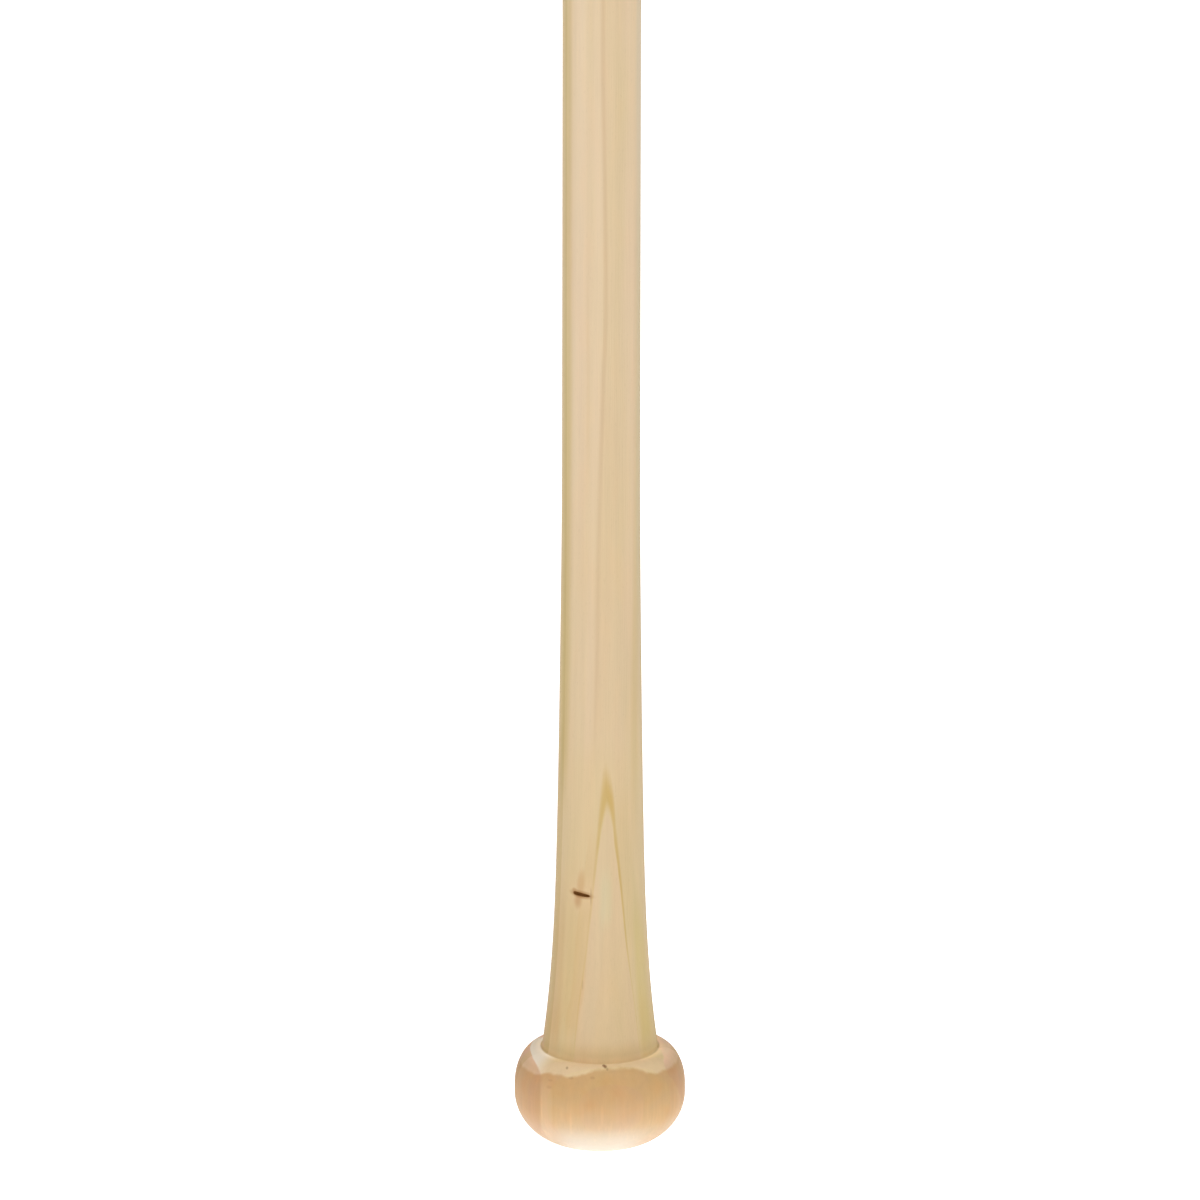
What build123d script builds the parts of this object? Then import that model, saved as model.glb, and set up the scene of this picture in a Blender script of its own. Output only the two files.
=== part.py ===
"""A full-size wooden baseball bat, turned from one billet.

The bat stands on its knob, with its axis on +Z and the origin at the centre
of the knob end. Sizes are in millimetres. Radii are measured from the axis.
"""

import os
from math import acos, degrees, sqrt

from build123d import *

INCH = 25.4

# The whole bat
bat_length = 34 * INCH

# Knob: a round collar with an elliptical underside and a fuller shoulder
knob_radius = 1.0 * INCH
knob_end_radius = 12.0
knob_underside_centre_radius = 8.2
knob_belly_z = 15.4
knob_belly_height = 2.4
knob_shoulder_radius = 18.4
knob_top_z = 29.4

# Handle: a flare out of the knob, then a straight grip
flare_root_radius = 17.3
flare_root_slope = -0.14
flare_points = [(14.55, 56.0), (13.0, 94.0), (12.1, 150.0)]
handle_radius = 11.6
grip_start_z = 215.0
grip_end_z = 345.0

# Taper from the grip to the barrel
taper_points = [(13.2, 415.0), (18.2, 500.0), (24.6, 585.0), (29.6, 665.0)]
barrel_radius = 1.25 * INCH
barrel_start_z = 750.0

# Barrel end: rounded shoulder, narrow rim and a scooped cup
end_round_height = 22.0
rim_radius = 21.0
cup_radius = 0.75 * INCH
cup_depth = 21.0
cup_lip_fillet = 0.8

# Round vinyl size decal, stuck on the flat end of the knob
decal_radius = 11.0
decal_thickness = 0.3

os.makedirs("parts", exist_ok=True)

# Derived places
knob_end_z = decal_thickness
barrel_end_z = bat_length - end_round_height
underside_width = knob_radius - knob_underside_centre_radius
end_cosine = (knob_end_radius - knob_underside_centre_radius) / underside_width
underside_arc = degrees(acos(end_cosine))
underside_height = (knob_belly_z - knob_end_z) / sqrt(1 - end_cosine**2)
shoulder_z = knob_belly_z + knob_belly_height
cup_sphere_radius = (cup_radius**2 + cup_depth**2) / (2 * cup_depth)


# The bat itself is one solid: a half profile revolved about the axis
with BuildPart() as bat_body:
    with BuildSketch(Plane.XZ):
        with BuildLine():
            Line((0, knob_end_z), (knob_end_radius, knob_end_z))
            EllipticalCenterArc(
                (knob_underside_centre_radius, knob_belly_z),
                underside_width,
                underside_height,
                start_angle=-underside_arc,
                arc_size=underside_arc,
            )
            Line((knob_radius, knob_belly_z), (knob_radius, shoulder_z))
            EllipticalCenterArc(
                (knob_shoulder_radius, shoulder_z),
                knob_radius - knob_shoulder_radius,
                knob_top_z - shoulder_z,
                start_angle=0,
                arc_size=90,
            )
            Line((knob_shoulder_radius, knob_top_z), (flare_root_radius, knob_top_z))
            Spline(
                (flare_root_radius, knob_top_z),
                *flare_points,
                (handle_radius, grip_start_z),
                tangents=[(flare_root_slope, 1), (0, 1)],
            )
            Line((handle_radius, grip_start_z), (handle_radius, grip_end_z))
            Spline(
                (handle_radius, grip_end_z),
                *taper_points,
                (barrel_radius, barrel_start_z),
                tangents=[(0, 1), (0, 1)],
            )
            Line((barrel_radius, barrel_start_z), (barrel_radius, barrel_end_z))
            EllipticalCenterArc(
                (rim_radius, barrel_end_z),
                barrel_radius - rim_radius,
                end_round_height,
                start_angle=0,
                arc_size=90,
            )
            Line((rim_radius, bat_length), (cup_radius, bat_length))
            RadiusArc(
                (cup_radius, bat_length),
                (0, bat_length - cup_depth),
                cup_sphere_radius,
            )
            Line((0, bat_length - cup_depth), (0, knob_end_z))
        make_face()
    revolve(axis=Axis.Z)
    rim_edges = bat_body.edges().filter_by(GeomType.CIRCLE).group_by(Axis.Z)[-1]
    cup_lip = rim_edges.sort_by(SortBy.RADIUS)[0]
    fillet(cup_lip, radius=cup_lip_fillet)

bat_body.part.label = "bat_body"
export_step(bat_body.part, "parts/bat_body.step")


# The decal is a thin disc whose back lies on the knob end
with BuildPart() as knob_decal:
    with BuildSketch(Plane.XY):
        Circle(decal_radius)
    extrude(amount=decal_thickness)

knob_decal.part.label = "knob_decal"
export_step(knob_decal.part, "parts/knob_decal.step")
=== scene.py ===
"""Looks for the wooden baseball bat: fine meshes, wood and finish, light and camera.

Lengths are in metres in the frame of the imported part. The bat stands on its
knob with its axis on Z, and the flat-sawn face of the wood looks towards -Y.
"""

import math

import bpy
import numpy as np
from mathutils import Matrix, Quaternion, Vector

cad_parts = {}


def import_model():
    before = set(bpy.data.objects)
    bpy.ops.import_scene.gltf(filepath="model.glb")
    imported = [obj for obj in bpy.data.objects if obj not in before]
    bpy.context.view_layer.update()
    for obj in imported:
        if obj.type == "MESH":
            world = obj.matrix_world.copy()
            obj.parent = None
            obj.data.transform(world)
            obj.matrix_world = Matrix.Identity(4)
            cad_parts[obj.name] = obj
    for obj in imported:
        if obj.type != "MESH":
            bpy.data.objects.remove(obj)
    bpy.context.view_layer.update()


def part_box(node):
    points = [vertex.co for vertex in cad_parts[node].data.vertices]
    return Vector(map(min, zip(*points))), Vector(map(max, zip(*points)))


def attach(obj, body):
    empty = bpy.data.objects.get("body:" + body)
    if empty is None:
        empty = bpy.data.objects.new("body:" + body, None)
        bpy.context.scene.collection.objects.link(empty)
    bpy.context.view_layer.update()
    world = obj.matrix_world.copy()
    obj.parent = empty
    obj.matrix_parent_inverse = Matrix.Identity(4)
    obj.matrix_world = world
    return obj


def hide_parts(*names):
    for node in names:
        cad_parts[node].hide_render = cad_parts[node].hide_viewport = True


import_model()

MM = 0.001

# ---------------------------------------------------------------- sizes

body_low, body_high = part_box("bat_body")
decal_low, decal_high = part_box("knob_decal")

BAT_LENGTH = body_high.z
KNOB_END_Z = body_low.z
BARREL_RADIUS = body_high.x
DECAL_RADIUS = decal_high.x

# Knob, as in the CAD body
KNOB_RADIUS = 25.4 * MM
KNOB_END_RADIUS = 12.0 * MM
UNDERSIDE_CENTRE_RADIUS = 8.2 * MM
BELLY_Z = 15.4 * MM
SHOULDER_Z = 17.8 * MM
SHOULDER_RADIUS = 18.4 * MM
KNOB_TOP_Z = 29.4 * MM
CORNER_FILLET = 0.35 * MM

# Flare, grip and taper: (height, radius) points of two smooth curves
FLARE = [(29.4, 17.3), (56.0, 14.55), (94.0, 13.0), (150.0, 12.1), (215.0, 11.6)]
FLARE_ROOT_SLOPE = -0.14
TAPER = [(345.0, 11.6), (415.0, 13.2), (500.0, 18.2), (585.0, 24.6), (665.0, 29.6), (750.0, 31.75)]

# Barrel end
END_ROUND_HEIGHT = 22.0 * MM
RIM_RADIUS = 21.0 * MM
CUP_RADIUS = 19.05 * MM
CUP_DEPTH = 21.0 * MM
CUP_LIP = 0.8 * MM
CUP_MARK_DEPTH = 0.07 * MM
CUP_MARK_COUNT = 16

# Pin knot in the handle: a dark slit that crosses the grain
KNOT_ANGLE = math.radians(-25.0)
KNOT_Z = 80.8 * MM
KNOT_HALF_LENGTH = 3.0 * MM
KNOT_HALF_HEIGHT = 0.5 * MM
KNOT_TAPER = 0.35
KNOT_TILT = math.radians(5.0)
KNOT_DEPTH = 0.45 * MM
KNOT_RADIUS = 13.35 * MM

# The mesh is finer across the pin knot, within this height and angle on each side of it
FINE_HEIGHT = 2.2 * MM
FINE_ANGLE = math.radians(22)
FINE_STEPS = 36
COARSE_STEPS = 108


# ---------------------------------------------------------------- profile


def smooth_curve(points, start_slope, end_slope):
    """The cubic spline through (height, radius) points in mm, as a function in metres."""
    h, r = (np.array(v, float) * MM for v in zip(*points))
    n = len(h)
    a, b = np.zeros((n, n)), np.zeros(n)
    a[0, 0], b[0] = 1, start_slope
    a[-1, -1], b[-1] = 1, end_slope
    for i in range(1, n - 1):
        before, after = h[i] - h[i - 1], h[i + 1] - h[i]
        a[i, i - 1 : i + 2] = after, 2 * (before + after), before
        b[i] = 3 * (after * (r[i] - r[i - 1]) / before + before * (r[i + 1] - r[i]) / after)
    slope = np.linalg.solve(a, b)

    def radius(z):
        i = min(max(int(np.searchsorted(h, z)) - 1, 0), n - 2)
        step = h[i + 1] - h[i]
        t = (z - h[i]) / step
        return (
            r[i] * (1 + 2 * t) * (1 - t) ** 2
            + r[i + 1] * t * t * (3 - 2 * t)
            + step * t * (1 - t) * (slope[i] * (1 - t) - slope[i + 1] * t)
        )

    return radius


def arc(centre, radii, start, end, steps):
    """Points (radius, height) on an elliptical arc, angles in degrees from the outward direction."""
    angles = np.radians(np.linspace(start, end, steps + 1))
    return [(centre[0] + radii[0] * math.cos(t), centre[1] + radii[1] * math.sin(t)) for t in angles]


def heights(start, end, step):
    """Evenly spaced heights from start to end, both included."""
    return np.linspace(start, end, max(1, round((end - start) / step)) + 1)


def knob_profile():
    """The flat end of the knob, its underside, its shoulder and the fillet in its corner."""
    width = KNOB_RADIUS - UNDERSIDE_CENTRE_RADIUS
    end_cosine = (KNOB_END_RADIUS - UNDERSIDE_CENTRE_RADIUS) / width
    height = (BELLY_Z - KNOB_END_Z) / math.sqrt(1 - end_cosine**2)
    end_angle = math.degrees(math.acos(end_cosine))
    points = [(0.0, KNOB_END_Z), (4 * MM, KNOB_END_Z), (8 * MM, KNOB_END_Z)]
    points += arc((UNDERSIDE_CENTRE_RADIUS, BELLY_Z), (width, height), -end_angle, 0, 36)
    shoulder = (KNOB_RADIUS - SHOULDER_RADIUS, KNOB_TOP_Z - SHOULDER_Z)
    points += arc((SHOULDER_RADIUS, SHOULDER_Z), shoulder, 0, 90, 40)
    corner = FLARE[0][1] * MM + CORNER_FILLET
    fillet = (CORNER_FILLET, CORNER_FILLET)
    points.append((corner, KNOB_TOP_Z))
    return points + arc((corner, KNOB_TOP_Z + CORNER_FILLET), fillet, 250, 190, 3)


def handle_profile():
    """The flare with close rows across the pin knot, the grip and the taper."""
    flare = smooth_curve(FLARE, FLARE_ROOT_SLOPE, 0)
    knot_low, knot_high = KNOT_Z - FINE_HEIGHT, KNOT_Z + FINE_HEIGHT
    grip_start, grip_end, barrel_start = (z * MM for z in (FLARE[-1][0], TAPER[0][0], TAPER[-1][0]))
    rows = [
        heights(KNOB_TOP_Z + 2 * CORNER_FILLET, knot_low, 1.2 * MM),
        heights(knot_low, knot_high, 0.2 * MM)[1:],
        heights(knot_high, grip_start, 2.0 * MM)[1:],
    ]
    points = [(flare(z), z) for z in np.concatenate(rows)]
    points += [(TAPER[0][1] * MM, z) for z in heights(grip_start, grip_end, 4 * MM)[1:-1]]
    taper = smooth_curve(TAPER, 0, 0)
    return points + [(taper(z), z) for z in heights(grip_end, barrel_start, 4 * MM)]


def barrel_profile():
    """The straight barrel and its rounded end."""
    start, end = TAPER[-1][0] * MM, BAT_LENGTH - END_ROUND_HEIGHT
    points = [(BARREL_RADIUS, z) for z in heights(start, end, 6 * MM)[1:-1]]
    end_round = (BARREL_RADIUS - RIM_RADIUS, END_ROUND_HEIGHT)
    return points + arc((RIM_RADIUS, end), end_round, 0, 90, 28)


def cup_profile():
    """The lip of the cup, and its hollow with the fine rings that the lathe left."""
    lip_z = BAT_LENGTH - CUP_LIP
    points = arc((CUP_RADIUS + CUP_LIP, lip_z), (CUP_LIP, CUP_LIP), 90, 180, 5)
    sphere = (CUP_RADIUS**2 + CUP_DEPTH**2) / (2 * CUP_DEPTH)
    sphere_z = BAT_LENGTH - CUP_DEPTH + sphere
    lip_angle = math.asin((lip_z - sphere_z) / sphere)
    for share in np.linspace(0, 1, 8 * CUP_MARK_COUNT + 1)[1:]:
        angle = lip_angle - share * (lip_angle + math.pi / 2)
        mark = CUP_MARK_DEPTH * math.sin(math.pi * CUP_MARK_COUNT * share) ** 2
        reach = sphere - mark
        points.append((reach * math.cos(angle), sphere_z + reach * math.sin(angle)))
    return points


def body_profile():
    """(radius, height) points from the middle of the knob end to the bottom of the cup."""
    return knob_profile() + handle_profile() + barrel_profile() + cup_profile()


# ---------------------------------------------------------------- meshes


def knot_recess(angle, z):
    """How far the slit of the pin knot sinks the surface, at an angle from the front and a height."""
    across, height = (angle - KNOT_ANGLE) * KNOT_RADIUS, z - KNOT_Z
    along = across * math.cos(KNOT_TILT) - height * math.sin(KNOT_TILT)
    up = across * math.sin(KNOT_TILT) + height * math.cos(KNOT_TILT)
    thick = KNOT_HALF_HEIGHT * (1 - KNOT_TAPER * along / KNOT_HALF_LENGTH)
    inside = 1 - (along / KNOT_HALF_LENGTH) ** 2 - (up / thick) ** 2
    # The walls are steep, and the bottom is flat
    return KNOT_DEPTH * min(1.0, max(0.0, inside) * 1.8)


def lathe(name, profile, angles, recess=None):
    """A closed solid of revolution. The profile starts and ends on the axis."""
    rings = profile[1:-1]
    points = [(0.0, 0.0, profile[0][1])]
    for radius, z in rings:
        for angle in angles:
            r = radius - (recess(angle, z) if recess else 0.0)
            points.append((r * math.sin(angle), -r * math.cos(angle), z))
    points.append((0.0, 0.0, profile[-1][1]))
    count, last = len(angles), len(points) - 1
    faces = []
    for j in range(count):
        k = (j + 1) % count
        faces.append((0, 1 + k, 1 + j))
        for i in range(len(rings) - 1):
            low, high = 1 + i * count, 1 + (i + 1) * count
            faces.append((low + j, low + k, high + k, high + j))
        top = 1 + (len(rings) - 1) * count
        faces.append((top + j, top + k, last))
    mesh = bpy.data.meshes.new(name)
    mesh.from_pydata(points, [], faces)
    mesh.polygons.foreach_set("use_smooth", [True] * len(mesh.polygons))
    mesh.set_sharp_from_angle(angle=math.radians(40))
    mesh.update()
    piece = bpy.data.objects.new(name, mesh)
    bpy.context.scene.collection.objects.link(piece)
    return piece


def body_angles():
    """Angles round the bat, closer together across the pin knot."""
    start, end = KNOT_ANGLE - FINE_ANGLE, KNOT_ANGLE + FINE_ANGLE
    fine = np.linspace(start, end, FINE_STEPS, endpoint=False)
    coarse = np.linspace(end, start + 2 * math.pi, COARSE_STEPS, endpoint=False)
    return [*fine, *coarse]


body = lathe("bat", body_profile(), body_angles(), knot_recess)
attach(body, "root")
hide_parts("bat_body")


def decal_profile():
    """A thin vinyl disc with a softly rounded edge, from its printed face up to its back."""
    edge = (decal_high.z - decal_low.z) / 2
    points = [(0.0, decal_low.z), (4 * MM, decal_low.z), (8 * MM, decal_low.z)]
    points += arc((DECAL_RADIUS - edge, decal_low.z + edge), (edge, edge), -90, 90, 8)
    return points + [(6 * MM, decal_high.z), (0.0, decal_high.z)]


decal = lathe("size_decal", decal_profile(), np.linspace(0, 2 * math.pi, 96, endpoint=False))
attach(decal, "root")
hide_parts("knob_decal")


# ---------------------------------------------------------------- node helper


def srgb(red, green, blue):
    """A colour given as display values from 0 to 255, as the linear values that shaders take."""
    parts = [v / 255 for v in (red, green, blue)]
    return (*(p / 12.92 if p <= 0.04045 else ((p + 0.055) / 1.055) ** 2.4 for p in parts), 1.0)


class Graph:
    """A material's node tree. Each call adds nodes and returns the output of the last."""

    def __init__(self, name):
        self.material = bpy.data.materials.new(name)
        self.material.use_nodes = True
        self.tree = self.material.node_tree
        self.shader = self.tree.nodes["Principled BSDF"]

    def node(self, kind, values, output=0, **settings):
        """A new node with its settings, its inputs fed by name or number."""
        made = self.tree.nodes.new("ShaderNode" + kind)
        for key, value in settings.items():
            setattr(made, key, value)
        for key, value in values.items():
            self.feed(made.inputs[key], value)
        return made.outputs[output]

    def feed(self, socket, value):
        """Link an output to a socket, or give the socket its own value."""
        if isinstance(value, bpy.types.NodeSocket):
            self.tree.links.new(value, socket)
        else:
            socket.default_value = value

    def math(self, operation, *values):
        return self.node("Math", dict(enumerate(values)), operation=operation)

    def plus(self, total, *others):
        for other in others:
            total = self.math("ADD", total, other)
        return total

    def minus(self, a, b):
        return self.math("SUBTRACT", a, b)

    def times(self, product, *others):
        for other in others:
            product = self.math("MULTIPLY", product, other)
        return product

    def length(self, a, b):
        """The length of the flat vector (a, b)."""
        return self.math("SQRT", self.plus(self.times(a, a), self.times(b, b)))

    def ramp(self, value, low, high, out_low=0.0, out_high=1.0, smooth=True):
        """value taken from low..high to out_low..out_high, clamped, by default with soft ends."""
        values = {"Value": value, "From Min": low, "From Max": high, "To Min": out_low, "To Max": out_high}
        kind = "SMOOTHSTEP" if smooth else "LINEAR"
        return self.node("MapRange", values, interpolation_type=kind)

    def curve(self, value, points):
        """A smooth curve through (value, result) points, level beyond its two ends."""
        first, last = points[0][0], points[-1][0]
        results = [p[1] for p in points]
        least, most = min(results), max(results)
        made = self.tree.nodes.new("ShaderNodeFloatCurve")
        line = made.mapping.curves[0].points
        places = [((a - first) / (last - first), (b - least) / (most - least)) for a, b in points]
        line[0].location, line[1].location = places[0], places[-1]
        for place in places[1:-1]:
            line.new(*place)
        made.mapping.update()
        self.feed(made.inputs["Value"], self.ramp(value, first, last, smooth=False))
        return self.ramp(made.outputs[0], 0.0, 1.0, least, most, smooth=False)

    def mix(self, factor, a, b, blend="MIX"):
        """Two colours blended. Sockets 6, 7 and output 2 are the Mix node's colour sockets."""
        values = {0: factor, 6: a, 7: b}
        return self.node("Mix", values, output=2, data_type="RGBA", blend_type=blend)

    def shade(self, colour, amount):
        """colour times a plain number."""
        grey = self.node("CombineColor", {"Red": amount, "Green": amount, "Blue": amount})
        return self.mix(1.0, colour, grey, "MULTIPLY")

    def tinted(self, factor, colour, tint):
        """colour, multiplied by a tint where the factor is 1."""
        return self.mix(factor, colour, self.mix(1.0, colour, (*tint, 1.0), "MULTIPLY"))

    def patchy(self, patches, colour, below, above):
        """colour, multiplied by one tint where the patches are below 0 and another above 0."""
        colour = self.tinted(self.math("ABSOLUTE", self.math("MINIMUM", patches, 0.0)), colour, below)
        return self.tinted(self.math("MAXIMUM", patches, 0.0), colour, above)

    def millimetres(self):
        """The point in the frame of the part, in mm, as a vector and as its x, y and z."""
        place = self.node("TexCoord", {}, output="Object")
        at = self.node("VectorMath", {"Vector": place, "Scale": 1 / MM}, operation="SCALE")
        x, y, z = self.node("SeparateXYZ", {0: at}).node.outputs
        return at, x, y, z

    def cells(self, at, size):
        """The point measured in cells of size (x, y, z) millimetres."""
        step = tuple(1 / v for v in size)
        return self.node("VectorMath", {0: at, 1: step}, operation="MULTIPLY")

    def noise(self, at, size, detail=2.0, roughness=0.5, low=-1.0, high=1.0):
        """Smooth noise with cells of size (x, y, z) millimetres, spread over low..high."""
        values = {"Vector": self.cells(at, size), "Scale": 1.0, "Detail": detail, "Roughness": roughness}
        return self.ramp(self.node("TexNoise", values), 0.2, 0.8, low, high, smooth=False)


# ---------------------------------------------------------------- wood

# Tones of the bare wood, and what they are multiplied by high on the handle and at the knob; the darker,
# warmer tone at the knob is partly warmer wood and partly painted shade where the light falls off
# downwards
CREAM, PINK, TAN = srgb(224, 200, 162), srgb(224, 198, 164), srgb(212, 187, 143)
GOLD, ROSE = srgb(219, 189, 143), srgb(213, 184, 149)
OLIVE, OCHRE, FAINT = srgb(203, 168, 88), srgb(206, 178, 124), srgb(217, 191, 150)
FRESH, LOW_TONE_AND_SHADE = (0.95, 0.95, 0.985, 1.0), (0.89, 0.87, 0.765, 1.0)

# Growth rings by their outer edge, in mm from the axis towards the bark, with the
# thickness of the latewood inside that edge and the tones of early and late wood,
# and the inner edge of the first ring
RINGS = [
    (-28.9, 0.5, TAN, OCHRE),
    (-25.0, 0.4, CREAM, OCHRE),
    (-21.6, 0.5, PINK, OCHRE),
    (-17.4, 0.4, GOLD, OLIVE),
    (-14.2, 0.3, CREAM, OCHRE),
    (-10.3, 0.4, PINK, OLIVE),
    (-6.4, 0.3, CREAM, OCHRE),
    (-2.2, 0.4, GOLD, OCHRE),
    (1.4, 0.3, ROSE, OCHRE),
    (4.9, 0.4, TAN, FAINT),
    (11.6, 0.26, CREAM, OLIVE),
    (16.6, 0.3, PINK, FAINT),
    (20.4, 0.5, CREAM, OCHRE),
    (23.7, 0.5, PINK, OCHRE),
    (26.4, 0.6, TAN, OCHRE),
    (28.9, 0.6, CREAM, OCHRE),
    (30.9, 0.5, PINK, OCHRE),
    (34.0, 0.4, TAN, OCHRE),
]
RINGS_START = -33.0

# The pith lies behind the bat and a little to its left, so the rings are wide arcs
PITH_X = -6.1
PITH_Y = 40.0

# The stem bends towards the bark near the knob: (height, how far the rings move), in mm.
# It draws the tall V of one ring on the front of the flare.
STEM_BEND = [
    (0, 4.2),
    (29, 3.3),
    (36, 2.72),
    (43, 2.2),
    (50, 1.84),
    (63, 1.53),
    (80, 1.28),
    (105, 1.17),
    (125, 1.12),
    (150, 0.97),
    (180, 0.75),
    (215, 0.58),
    (345, 0.5),
]


def ring_depth(g, at, x, y, z):
    """How far towards the bark a point lies, in mm, with the wander of a real stem."""
    from_pith = g.length(g.minus(x, PITH_X), g.minus(y, PITH_Y))
    depth = g.minus(from_pith, math.hypot(PITH_X, PITH_Y))
    depth = g.minus(depth, g.curve(z, STEM_BEND))
    wander = g.noise(at, (14.0, 14.0, 150.0), detail=1.0)
    wander = g.times(wander, g.ramp(z, 330.0, 520.0, 0.08, 1.6))
    ripple = g.noise(at, (3.0, 3.0, 35.0))
    return g.plus(depth, wander, g.times(ripple, 0.06))


def ring_tone(g, place, column):
    """One colour for each growth ring, picked by its place in the table."""
    tone = g.tree.nodes.new("ShaderNodeValToRGB")
    tone.color_ramp.interpolation = "CONSTANT"
    g.feed(tone.inputs[0], place)
    for i, ring in enumerate(RINGS):
        stop = tone.color_ramp.elements[i] if i < 2 else tone.color_ramp.elements.new(i / len(RINGS))
        stop.position = i / len(RINGS)
        stop.color = ring[column]
    return tone.outputs[0]


def ring_colour(g, depth, z, strength):
    """The colour of the wood at a depth: pale earlywood, then a narrow band of latewood."""
    # Each ring adds 1 to the steps across its earlywood and 1 across its latewood
    steps, start = 0.0, RINGS_START
    for edge, late, _, _ in RINGS:
        early = g.ramp(depth, start, edge - late, smooth=False)
        dense = g.ramp(depth, edge - late, edge, smooth=False)
        steps = g.plus(steps, early, dense)
        start = edge
    index = g.math("FLOOR", g.times(steps, 0.5))
    place = g.math("DIVIDE", g.plus(index, 0.5), len(RINGS))
    into = g.minus(steps, g.times(index, 2.0))
    dense = g.times(g.ramp(into, 1.0, 1.6), g.ramp(into, 2.0, 1.7))
    early, late = ring_tone(g, place, 2), ring_tone(g, place, 3)
    # In the wide rings of the barrel the earlywood darkens towards the latewood
    grade = g.times(g.ramp(into, 0.2, 1.0, smooth=False), g.ramp(z, 360.0, 520.0, 0.0, 0.45))
    early = g.mix(grade, early, late)
    return g.mix(g.times(dense, strength), early, late)


# The long soft line up the middle of the handle: (height, x) in mm
LONG_LINE = [
    (110, -2.3),
    (129, -1.8),
    (154, -1.2),
    (179, -0.85),
    (204, -0.4),
    (217, 0.0),
    (230, 0.4),
    (242, 0.6),
    (254, 1.05),
    (267, 1.25),
    (292, 1.1),
    (317, 0.6),
    (345, 0.3),
]


def beside_line(offset):
    """The long line, moved to the right by an offset in mm."""
    return [(z, x + offset) for z, x in LONG_LINE]


# Streaks that run up the front of the wood: (height, x) points of the middle, half width,
# softness of the edges, fade-in heights, fade-out heights, and the tint that the wood is
# multiplied by
STREAKS = [
    # olive strip near the left edge, and outside it painted light that keeps the left edge of the handle
    # as bright as its middle
    ([(60, -12.0), (126, -10.8), (154, -10.4), (204, -10.05), (345, -10.0)],
     1.1, 0.95, (100, 128), (340, 400), (0.88, 0.86, 0.69)),
    ([(126, -13.0), (154, -12.5), (204, -12.2), (345, -12.0)],
     1.8, 0.9, (105, 140), (340, 400), (1.08, 1.11, 1.18)),
    # pale strip inside the olive one
    ([(150, -6.9), (345, -6.2)], 1.6, 1.2, (150, 230), (360, 420), (1.03, 1.04, 1.08)),
    # fine brown strip in the middle of the grip
    ([(200, -3.9), (345, -4.0)], 0.45, 0.35, (205, 225), (250, 290), (0.985, 0.97, 0.955)),
    # pale pink strip left of the long line
    (beside_line(-2.0), 0.9, 0.7, (105, 140), (380, 440), (1.015, 1.01, 1.035)),
    # the long line, which is fainter in its lower half
    (beside_line(0.0), 0.62, 0.5, (205, 235), (380, 460), (0.925, 0.89, 0.88)),
    (beside_line(0.0), 0.6, 0.5, (100, 150), (210, 235), (0.965, 0.945, 0.945)),
    # all the wood right of that line is a little yellower, most of all beside it
    (beside_line(16.0), 16.2, 0.5, (110, 150), (400, 500), (0.975, 0.965, 0.94)),
    ([(150, 3.4), (345, 3.7)], 2.6, 1.8, (170, 215), (380, 440), (0.975, 0.975, 0.96)),
    # paler strip near the right edge
    ([(150, 8.2), (345, 8.9)], 1.6, 1.2, (140, 180), (380, 440), (1.05, 1.04, 1.065)),
    # olive strip outside it, and greyer wood at the very edge
    ([(60, 11.2), (110, 10.0), (150, 10.2), (200, 11.0), (345, 11.1)],
     1.0, 0.7, (80, 130), (250, 330), (0.96, 0.965, 0.88)),
    ([(150, 11.8), (345, 11.5)], 1.2, 0.6, (130, 190), (380, 460), (0.97, 1.02, 1.1)),
    # less yellow wood above the tip of the V
    ([(90, -1.0), (190, 1.0)], 9.0, 3.0, (118, 132), (150, 185), (1.0, 1.005, 1.05)),
    # yellower wood right of the V, and a yellow strip near the right edge
    ([(63, 10.2), (79, 8.9), (92, 7.3), (104, 6.2)],
     2.2, 0.8, (60, 72), (100, 122), (0.955, 0.965, 0.92)),
    ([(38, 13.7), (46, 12.8), (62, 11.9), (80, 10.8)],
     1.4, 0.8, (31, 38), (62, 82), (0.965, 0.98, 0.84)),
    # paler wood inside the left leg of the V
    ([(29, -4.2), (43, -3.7), (50, -2.6), (67, -1.5), (85, 0.4), (104, 1.6)],
     2.1, 1.0, (33, 40), (96, 110), (1.0, 1.015, 1.05)),
    # a small greenish white patch between the legs of the V
    ([(70, 1.2), (80, 1.7), (92, 1.7)], 1.7, 1.0, (68, 76), (82, 92), (0.965, 1.045, 1.055)),
    # warm wood left of the V, with a browner strip beside the V and one near the left edge
    ([(29, -12.0), (60, -9.0), (95, -7.6)], 3.2, 2.6, (31, 44), (64, 100), (0.985, 0.95, 0.91)),
    ([(36, -8.7), (43, -8.1), (50, -6.7), (67, -5.4), (85, -3.4), (97, -1.9)],
     1.8, 0.35, (33, 42), (90, 104), (0.98, 0.95, 0.91)),
    ([(38, -13.5), (70, -11.7), (90, -11.2)], 1.3, 0.7, (31, 38), (66, 92), (0.965, 0.92, 0.88)),
    # painted shade darkens both sides of the flare's foot
    ([(29, -15.4), (45, -13.4)], 2.4, 1.0, (29.4, 30), (38, 50), (0.985, 0.945, 0.89)),
    ([(29, 15.4), (45, 13.8)], 2.4, 1.0, (29.4, 30), (40, 54), (0.975, 0.96, 0.87)),
    # painted reflection: a pale strip at the left of the knob
    ([(4, -15.7), (26, -16.1)], 1.7, 0.5, (2, 6), (22, 26), (1.06, 1.1, 1.22)),
]


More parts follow.
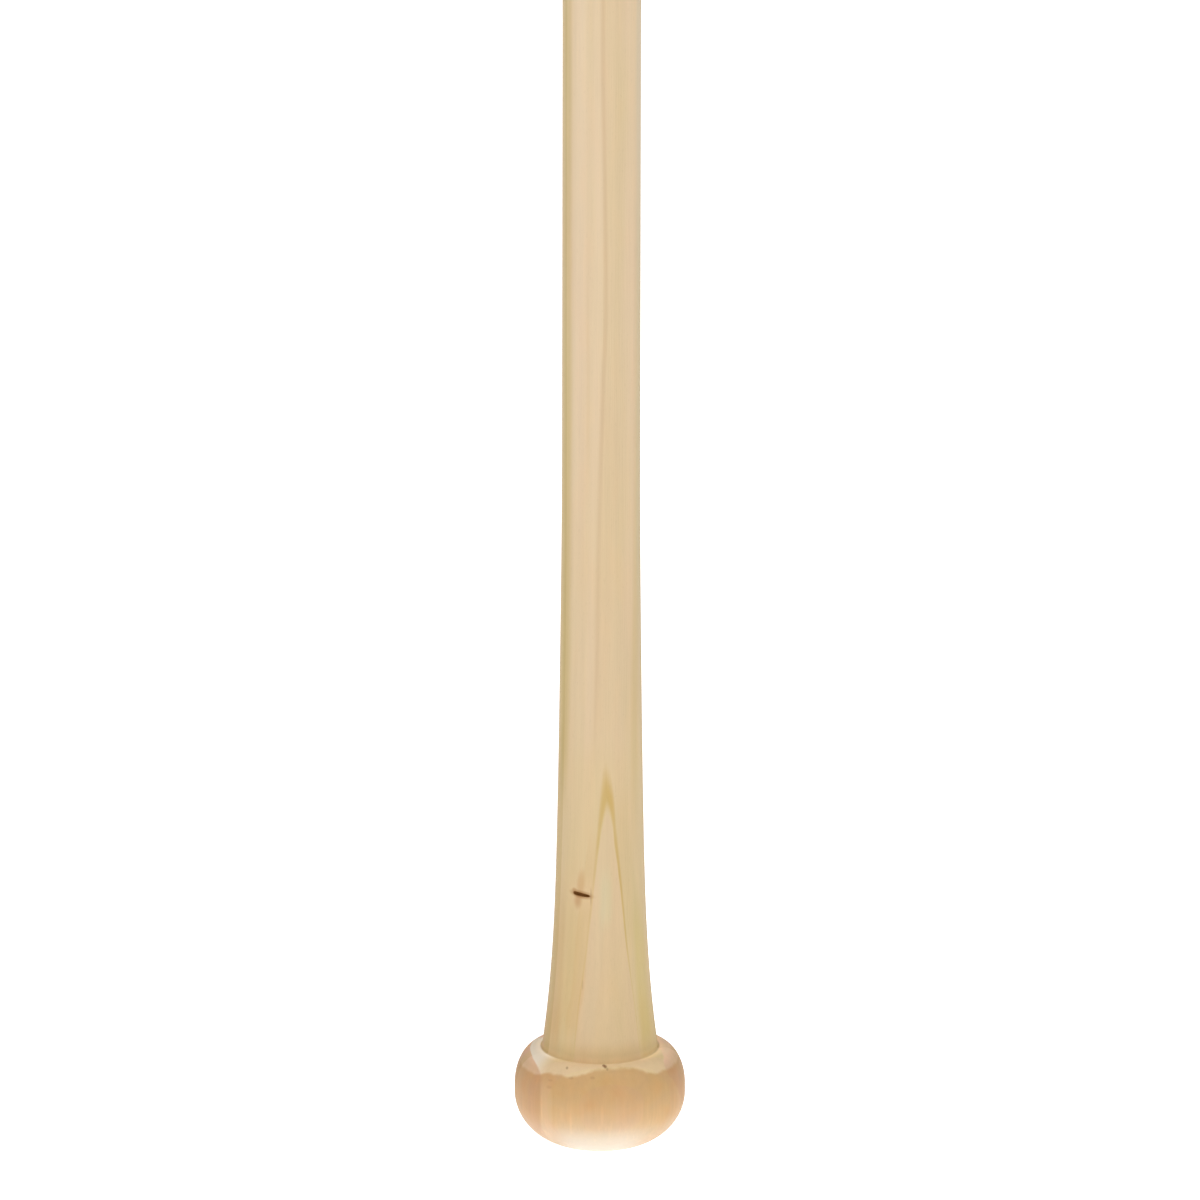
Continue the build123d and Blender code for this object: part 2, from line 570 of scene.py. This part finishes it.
def streaks(g, at, x, y, z, colour):
    """The streaks, one over the other, on the front half of the wood."""
    front = g.ramp(y, 1.5, -1.5)
    x = g.plus(x, g.times(g.noise(at, (6.0, 6.0, 30.0)), 0.16))
    for middle, half, soft, fade_in, fade_out, tint in STREAKS:
        away = g.math("ABSOLUTE", g.minus(x, g.curve(z, middle)))
        strip = g.ramp(away, half - soft, half + soft, 1.0, 0.0)
        length = g.times(g.ramp(z, *fade_in), g.ramp(z, *fade_out, 1.0, 0.0))
        colour = g.tinted(g.times(strip, length, front), colour, tint)
    return colour


# The dark core of the pin knot: colour, half length, and half heights at its two ends, in mm
KNOT_CORE = srgb(104, 62, 10)
CORE_HALF_LENGTH = 2.8
CORE_LEFT, CORE_RIGHT = 0.68, 0.4

# Stained wood round the pin knot: (mm along and up from its middle), half width, half
# height, softness of the edge, strength and colour
KNOT_STAINS = [
    # pale halo
    ((0.0, 0.3), 4.6, 4.2, 0.8, 0.35, srgb(224, 192, 152)),
    # plume above the slit and wedge below it
    ((-0.5, 3.4), 1.1, 3.6, 0.7, 0.6, srgb(200, 160, 112)),
    ((-0.9, -1.9), 1.1, 2.2, 0.7, 0.65, srgb(188, 144, 100)),
    # burnt brown rim of the slit, and a spot over its left end
    ((-0.1, 0.0), 3.3, 1.05, 0.5, 0.7, srgb(160, 108, 54)),
    ((-2.4, 0.9), 0.8, 0.6, 0.6, 0.45, srgb(176, 122, 70)),
]


def pin_knot(g, angle, z, colour):
    """The slit of a small dead knot, with stained wood round it."""
    across = g.times(g.minus(angle, KNOT_ANGLE), KNOT_RADIUS / MM)
    height = g.minus(z, KNOT_Z / MM)
    tilt_cos, tilt_sin = math.cos(KNOT_TILT), math.sin(KNOT_TILT)
    along = g.minus(g.times(across, tilt_cos), g.times(height, tilt_sin))
    up = g.plus(g.times(across, tilt_sin), g.times(height, tilt_cos))

    def spot(middle, wide, tall, soft, blunt=2.0):
        """1 inside an oval about its middle, falling to 0 over soft of its size."""
        a = g.math("ABSOLUTE", g.math("DIVIDE", g.minus(along, middle[0]), wide))
        b = g.math("DIVIDE", g.minus(up, middle[1]), tall)
        reach = g.math("SQRT", g.plus(g.math("POWER", a, blunt), g.times(b, b)))
        return g.ramp(reach, 1 + soft, 1 - soft)

    for middle, wide, tall, soft, strength, stain in KNOT_STAINS:
        colour = g.mix(g.times(spot(middle, wide, tall, soft), strength), colour, stain)
    end = KNOT_HALF_LENGTH / MM
    thick = g.ramp(along, -end, end, CORE_LEFT, CORE_RIGHT, smooth=False)
    core = spot((0.0, 0.0), CORE_HALF_LENGTH, thick, 0.3, blunt=6.0)
    return g.mix(core, colour, KNOT_CORE)


# Bark specks beside the corner at the knob and on it, and two dark fibres on the flare:
# (x, y, z) in mm, half size across and up, and strength
BARK = srgb(120, 78, 46)
SPECKS = [
    ((1.15, -18.6, 29.5), 0.5, 0.6, 0.75),
    ((1.6, -19.2, 29.1), 0.5, 0.6, 0.75),
    ((2.2, -20.2, 28.7), 0.4, 0.5, 0.35),
    ((-9.8, -18.7, 28.7), 0.4, 0.45, 0.45),
    ((-8.6, -21.4, 26.4), 0.8, 0.4, 0.2),
    ((-2.2, -22.6, 26.9), 0.7, 0.4, 0.16),
    ((-14.6, -18.9, 24.8), 1.5, 0.35, 0.12),
    ((-15.2, -19.6, 22.9), 1.3, 0.5, 0.12),
    ((-5.2, -13.7, 53.0), 0.25, 1.6, 0.15),
    ((-2.75, -13.0, 80.5), 0.3, 2.6, 0.22),
]


def specks(g, at, colour):
    """Tiny bark specks and dark fibres in the wood, longer into it than up it."""
    for place, wide, tall, strength in SPECKS:
        away = g.node("VectorMath", {0: at, 1: place}, operation="SUBTRACT")
        depth = 1.6 * tall
        sized = g.cells(away, (wide, depth, tall))
        reach = g.node("VectorMath", {"Vector": sized}, output="Value", operation="LENGTH")
        colour = g.mix(g.ramp(reach, 1.4, 0.5, 0.0, strength), colour, BARK)
    return colour


# Height of the clear coat's edge round the knob: (degrees from the front, mm)
DIP_LINE = [
    (-180, 26.0),
    (-100, 25.2),
    (-62, 25.1),
    (-48, 25.5),
    (-39, 26.6),
    (-24, 26.6),
    (-14, 27.5),
    (-6, 28.3),
    (2, 28.8),
    (22, 28.7),
    (32, 27.9),
    (40, 26.7),
    (48, 26.0),
    (60, 26.0),
    (100, 26.0),
    (180, 26.0),
]


def clear_coat(g, at, degrees, z):
    """1 under the satin clear coat of the knob, 0 on bare wood."""
    wave = g.noise(at, (2.4, 2.4, 6.0))
    line = g.plus(g.curve(degrees, DIP_LINE), g.times(wave, 0.3))
    soft = 0.55
    return g.ramp(g.minus(z, line), soft, -soft)


# The pinker wood at both sides of the knob, which also carries painted shade, starts at these angles:
# (height, degrees)
LEFT_SIDE = [(0, -50), (16, -44), (22, -44), (25.5, -48), (28.3, -70), (28.8, -112)]
RIGHT_SIDE = [(0, 82), (14, 74), (18, 68), (22, 63), (26, 58), (28.6, 66), (29.4, 79)]


def knob_sides(g, at, z, degrees):
    """1 on the pinker wood at the left and right of the knob's front half; under the coat it is also
    painted darker as shade.
    """
    degrees = g.plus(degrees, g.times(g.noise(at, (3.0, 3.0, 7.0)), 1.4))
    left = g.minus(degrees, g.curve(z, LEFT_SIDE))
    right = g.minus(degrees, g.curve(z, RIGHT_SIDE))
    sides = g.math("MAXIMUM", g.ramp(left, 2.0, -2.0), g.ramp(right, -2.0, 2.0))
    front = g.times(g.ramp(degrees, -150.0, -110.0), g.ramp(degrees, 150.0, 110.0))
    return g.times(sides, front, g.ramp(z, 31.0, 29.5))


# Colours that the two ends of the ledge fade to: painted light over its paler bare wood
LEFT_END, RIGHT_END = srgb(242, 232, 216), srgb(240, 214, 178)


def ledge(g, radius, z, degrees, bare, sides, colour):
    """The bare ledge of the knob round the flare: raw, paler end grain with painted light from above,
    palest at its two ends; painted shade in the corner and painted light beside it.
    """
    on_ledge = g.times(g.ramp(radius, 17.4, 18.0), g.ramp(z, 35.0, 31.0), bare)
    front = g.times(on_ledge, g.minus(1.0, sides))
    # Paler bare wood, and painted light from above on the ledge, most at its left end
    colour = g.tinted(front, colour, (1.12, 1.12, 1.15))
    left = g.times(g.ramp(degrees, -42.0, -62.0), g.ramp(degrees, -150.0, -110.0))
    colour = g.mix(g.times(front, left, 0.75), colour, LEFT_END)

    # Pinker wood at both sides, with painted light from above making it paler towards the top
    blush = g.times(on_ledge, sides)
    colour = g.tinted(blush, colour, (1.01, 0.9, 0.98))
    colour = g.tinted(g.times(blush, g.ramp(z, 26.2, 29.0)), colour, (1.25, 1.25, 1.4))
    right = g.times(g.ramp(degrees, 62.0, 76.0), g.ramp(degrees, 150.0, 110.0))
    right = g.times(right, on_ledge, g.ramp(z, 28.2, 29.2))
    colour = g.mix(g.times(right, 0.5), colour, RIGHT_END)

    # Painted light along the flare away from the front and at the flare's very foot, and painted shade in
    # the corner itself
    aside = g.ramp(g.math("ABSOLUTE", degrees), 30.0, 65.0)
    inner = g.times(on_ledge, aside, g.ramp(radius, 20.0, 18.0))
    colour = g.tinted(inner, colour, (1.18, 1.18, 1.19))
    corner = g.times(g.ramp(radius, 18.0, 17.3), g.ramp(z, 36.5, 31.5))
    corner = g.times(corner, g.minus(1.0, g.times(aside, 0.8)))
    colour = g.tinted(corner, colour, (0.94, 0.9, 0.82))
    # Painted light at the very foot of the flare
    foot = g.times(g.ramp(radius, 17.7, 17.4), g.ramp(z, 32.0, 29.8))
    return g.tinted(foot, colour, (1.13, 1.12, 1.13))


# Painted light from the glowing floor on the knob's underside: how much of a pale tone shows towards the
# end of the knob, and how much lighter the wood is painted there: (height, share) and (height, factor)
UNDERSIDE_LIGHT_SHARE = [(0, 0.6), (6.9, 0.48), (9.2, 0.37), (12.7, 0.14), (16.6, 0.05), (21, 0.0)]
UNDERSIDE_LIGHT_FACTOR = [(0, 1.0), (6.9, 1.08), (9.2, 1.11), (12.7, 1.15), (16.6, 1.1), (20.3, 1.03), (24, 1.0)]

# What the clear coat multiplies the wood by, and the pale colour of the painted floor light on the
# underside
WET, UNDERSIDE_LIGHT_TONE = (0.9, 0.744, 0.613, 1.0), (0.80, 0.78, 0.71, 1.0)


def wet_wood(g, at, z, degrees, colour):
    """The wood of the knob under its clear coat: deeper and warmer, and paler towards the end with painted
    light from the floor.
    """
    wet = g.mix(1.0, colour, WET, "MULTIPLY")
    lines = g.noise(at, (0.8, 0.8, 30.0))
    pale = g.ramp(g.noise(at, (1.6, 1.6, 24.0), detail=1.0), 0.3, 0.9)
    lines = g.plus(g.times(lines, 0.5), pale)
    # Painted light from the glowing floor brightens the wood towards the end of the knob
    light = g.plus(g.curve(z, UNDERSIDE_LIGHT_FACTOR), g.times(lines, g.ramp(z, 23.0, 14.0, 0.01, 0.09)))
    wet = g.shade(wet, light)
    cloud = g.noise(at, (6.0, 6.0, 5.0), detail=1.0)
    wet = g.patchy(cloud, wet, (0.96, 0.98, 1.04), (1.02, 0.96, 0.9))
    # The pale painted floor light over the underside, strongest at the front of the knob
    aside = g.ramp(g.math("ABSOLUTE", degrees), 14.0, 52.0, 1.15, 0.45)
    return g.mix(g.times(g.curve(z, UNDERSIDE_LIGHT_SHARE), aside), wet, UNDERSIDE_LIGHT_TONE)


def latewood_strength(g, at, x, z):
    """How strongly latewood shows: faintly on the lower legs of the V, not at all in the knob."""
    strength = g.noise(at, (5.0, 5.0, 22.0), detail=1.0, low=0.25, high=0.6)
    strength = g.plus(strength, g.ramp(x, -1.0, 4.0, 0.0, 0.15), g.ramp(z, 96.0, 114.0, 0.0, 0.3))
    left_leg = g.times(g.ramp(x, 0.3, -1.2), g.ramp(z, 99.0, 92.0, 0.0, 0.55))
    right_foot = g.times(g.ramp(x, 0.0, 2.5), g.ramp(z, 70.0, 50.0, 0.0, 0.7))
    shown = g.minus(1.0, g.plus(left_leg, right_foot))
    return g.times(strength, shown, g.ramp(z, 30.0, 36.0))


def bare_wood(g, at, x, y, z, strips, fibres):
    """Rings and streaks, with strips, fibres, ray flecks and slow patches along the grain."""
    strength = latewood_strength(g, at, x, z)
    colour = ring_colour(g, ring_depth(g, at, x, y, z), z, strength)
    # Darker and warmer towards the knob: partly warmer wood, partly painted shade
    toward_knob_share = g.ramp(z, 250.0, 40.0, smooth=False)
    colour = g.mix(1.0, colour, g.mix(toward_knob_share, FRESH, LOW_TONE_AND_SHADE), "MULTIPLY")
    colour = streaks(g, at, x, y, z, colour)
    patches = g.noise(at, (7.0, 7.0, 60.0), detail=1.0, low=-0.4, high=0.4)
    colour = g.patchy(patches, colour, (1.02, 0.94, 0.96), (0.95, 0.98, 0.86))
    clouds = g.noise(at, (4.0, 4.0, 16.0), detail=1.0)
    colour = g.tinted(g.math("MAXIMUM", clouds, 0.0), colour, (1.01, 0.99, 0.975))
    flecks = g.ramp(g.noise(at, (0.25, 0.5, 1.4), detail=0.0), 0.6, 0.95)
    light = g.plus(g.times(strips, 0.03), g.times(fibres, 0.025), g.times(clouds, 0.012))
    light = g.minus(light, g.times(flecks, 0.035))
    return g.shade(colour, g.plus(light, 1.0))


def wood():
    """One solid texture for the whole bat: bare wood, pin knot, bare ledge and coated knob."""
    g = Graph("wood")
    at, x, y, z = g.millimetres()
    angle = g.math("ARCTAN2", x, g.times(y, -1.0))
    degrees = g.times(angle, 180 / math.pi)
    strips = g.noise(at, (2.0, 2.0, 160.0))
    fibres = g.noise(at, (0.3, 0.3, 16.0), detail=4.0, roughness=0.6)
    colour = bare_wood(g, at, x, y, z, strips, fibres)
    colour = pin_knot(g, angle, z, colour)

    # The knob: bare above the edge of its clear coat, and pinker at both sides, with painted shade
    # darkening the coated wood there
    coat = clear_coat(g, at, degrees, z)
    sides = knob_sides(g, at, z, degrees)
    colour = ledge(g, g.length(x, y), z, degrees, g.minus(1.0, coat), sides, colour)
    wet = g.tinted(sides, wet_wood(g, at, z, degrees, colour), (0.95, 0.9, 0.93))
    colour = specks(g, at, g.mix(coat, colour, wet))

    g.feed(g.shader.inputs["Base Color"], colour)
    rough = g.plus(g.ramp(coat, 0.0, 1.0, 0.62, 0.55), g.times(fibres, 0.05))
    g.feed(g.shader.inputs["Roughness"], rough)
    grain = g.plus(fibres, g.times(strips, 0.4))
    grain = g.times(grain, g.ramp(coat, 0.0, 1.0, 1.0, 0.35))
    bump = g.node("Bump", {"Strength": 0.6, "Distance": 0.04 * MM, "Height": grain})
    g.feed(g.shader.inputs["Normal"], bump)
    g.shader.inputs["Specular IOR Level"].default_value = 0.18
    return g.material


# Printed rings of the size decal: radius of the middle and half width, in mm
INK_RINGS = [(9.2, 0.5), (7.9, 0.15)]
INK, SCUFFED = srgb(44, 62, 84), srgb(206, 196, 176)


def vinyl():
    """White vinyl with two printed rings, slightly mottled and scuffed towards its rim."""
    g = Graph("vinyl")
    at, x, y, _ = g.millimetres()
    radius = g.length(x, y)
    mottle = g.noise(at, (2.5, 2.5, 2.5), detail=3.0)
    scuffs = g.noise(at, (0.5, 4.0, 4.0), detail=3.0, roughness=0.7)
    colour = g.mix(g.ramp(mottle, -1.0, 1.0, 0.0, 0.5), srgb(228, 225, 215), srgb(216, 212, 199))
    for middle, half in INK_RINGS:
        away = g.math("ABSOLUTE", g.minus(radius, middle))
        colour = g.mix(g.ramp(away, half + 0.06, half - 0.06, 0.0, 0.92), colour, INK)
    worn = g.times(g.ramp(radius, 7.0, 11.0), g.ramp(scuffs, 0.2, 0.8, 0.0, 0.55))
    colour = g.mix(worn, colour, SCUFFED)
    g.feed(g.shader.inputs["Base Color"], colour)
    g.feed(g.shader.inputs["Roughness"], g.ramp(scuffs, -1.0, 1.0, 0.32, 0.5))
    bump = g.node("Bump", {"Strength": 0.4, "Distance": 0.02 * MM, "Height": mottle})
    g.feed(g.shader.inputs["Normal"], bump)
    return g.material


body.data.materials.append(wood())
decal.data.materials.append(vinyl())


# ---------------------------------------------------------------- floor, light and camera

# Half the width of the floor, and how strongly the floor and the white behind it shine
FLOOR_HALF = 40.0
GLOW = 1.25
WHITE = (1.0, 1.0, 1.0, 1.0)


def floor():
    """A pale glowing floor like a light table, clear from below so that the underside can be seen."""
    mesh = bpy.data.meshes.new("floor")
    signs = [(-1, -1), (1, -1), (1, 1), (-1, 1)]
    corners = [(i * FLOOR_HALF, j * FLOOR_HALF, 0) for i, j in signs]
    mesh.from_pydata(corners, [], [(0, 1, 2, 3)])
    piece = bpy.data.objects.new("floor", mesh)
    bpy.context.scene.collection.objects.link(piece)
    g = Graph("floor")
    g.shader.inputs["Base Color"].default_value = (0.3, 0.3, 0.3, 1.0)
    g.shader.inputs["Roughness"].default_value = 0.9
    g.shader.inputs["Emission Color"].default_value = WHITE
    g.shader.inputs["Emission Strength"].default_value = GLOW
    behind = g.node("NewGeometry", {}, output="Backfacing")
    clear = g.node("BsdfTransparent", {})
    shown = g.node("MixShader", {0: behind, 1: g.shader.outputs[0], 2: clear})
    g.feed(g.tree.nodes["Material Output"].inputs["Surface"], shown)
    mesh.materials.append(g.material)


def softbox(name, place, target, size, power):
    """A square area light that faces its target."""
    lamp = bpy.data.lights.new(name, "AREA")
    lamp.size = size
    lamp.energy = power
    piece = bpy.data.objects.new(name, lamp)
    piece.location = place
    piece.rotation_euler = (Vector(target) - Vector(place)).to_track_quat("-Z", "Y").to_euler()
    piece.visible_camera = False
    bpy.context.scene.collection.objects.link(piece)


def world():
    """Dim white light from all round, and plain white where the camera sees past the floor."""
    made = bpy.data.worlds.new("world")
    made.use_nodes = True
    tree = made.node_tree
    light = tree.nodes["Background"]
    light.inputs["Color"].default_value = WHITE
    light.inputs["Strength"].default_value = 0.15
    seen = tree.nodes.new("ShaderNodeBackground")
    seen.inputs["Color"].default_value = WHITE
    seen.inputs["Strength"].default_value = GLOW
    path = tree.nodes.new("ShaderNodeLightPath")
    both = tree.nodes.new("ShaderNodeMixShader")
    tree.links.new(path.outputs["Is Camera Ray"], both.inputs[0])
    tree.links.new(light.outputs[0], both.inputs[1])
    tree.links.new(seen.outputs[0], both.inputs[2])
    tree.links.new(both.outputs[0], tree.nodes["World Output"].inputs["Surface"])
    bpy.context.scene.world = made


# The camera looks down at the bat a little, and its roll makes the bat lean a trace
ELEVATION = math.radians(18.0)
AIM = Vector((-0.22 * MM, 0.0, 168.9 * MM))
FRAME_WIDTH = 355.9 * MM
LENS = 1000.0
SENSOR = 36.0
ROLL = math.radians(0.105)


def camera():
    """A long lens in front, a little above, on the knob and the lower handle."""
    data = bpy.data.cameras.new("camera")
    data.lens = LENS
    data.sensor_width = SENSOR
    data.clip_end = 100.0
    piece = bpy.data.objects.new("camera", data)
    back = Vector((0.0, -math.cos(ELEVATION), math.sin(ELEVATION)))
    piece.location = AIM + back * (FRAME_WIDTH * LENS / SENSOR)
    turn = (-back).to_track_quat("-Z", "Y") @ Quaternion((0.0, 0.0, 1.0), ROLL)
    piece.rotation_mode = "QUATERNION"
    piece.rotation_quaternion = turn
    bpy.context.scene.collection.objects.link(piece)
    bpy.context.scene.camera = piece


floor()
world()
softbox("front_left", (-1.3, -2.0, 1.7), (0, 0, 0.25), 1.4, 12.0)
softbox("front_right", (1.3, -2.0, 1.7), (0, 0, 0.25), 1.4, 12.0)
softbox("overhead", (0, -0.2, 2.6), (0, 0, 0.1), 1.4, 40.0)
camera()
bpy.context.scene.view_settings.view_transform = "Standard"
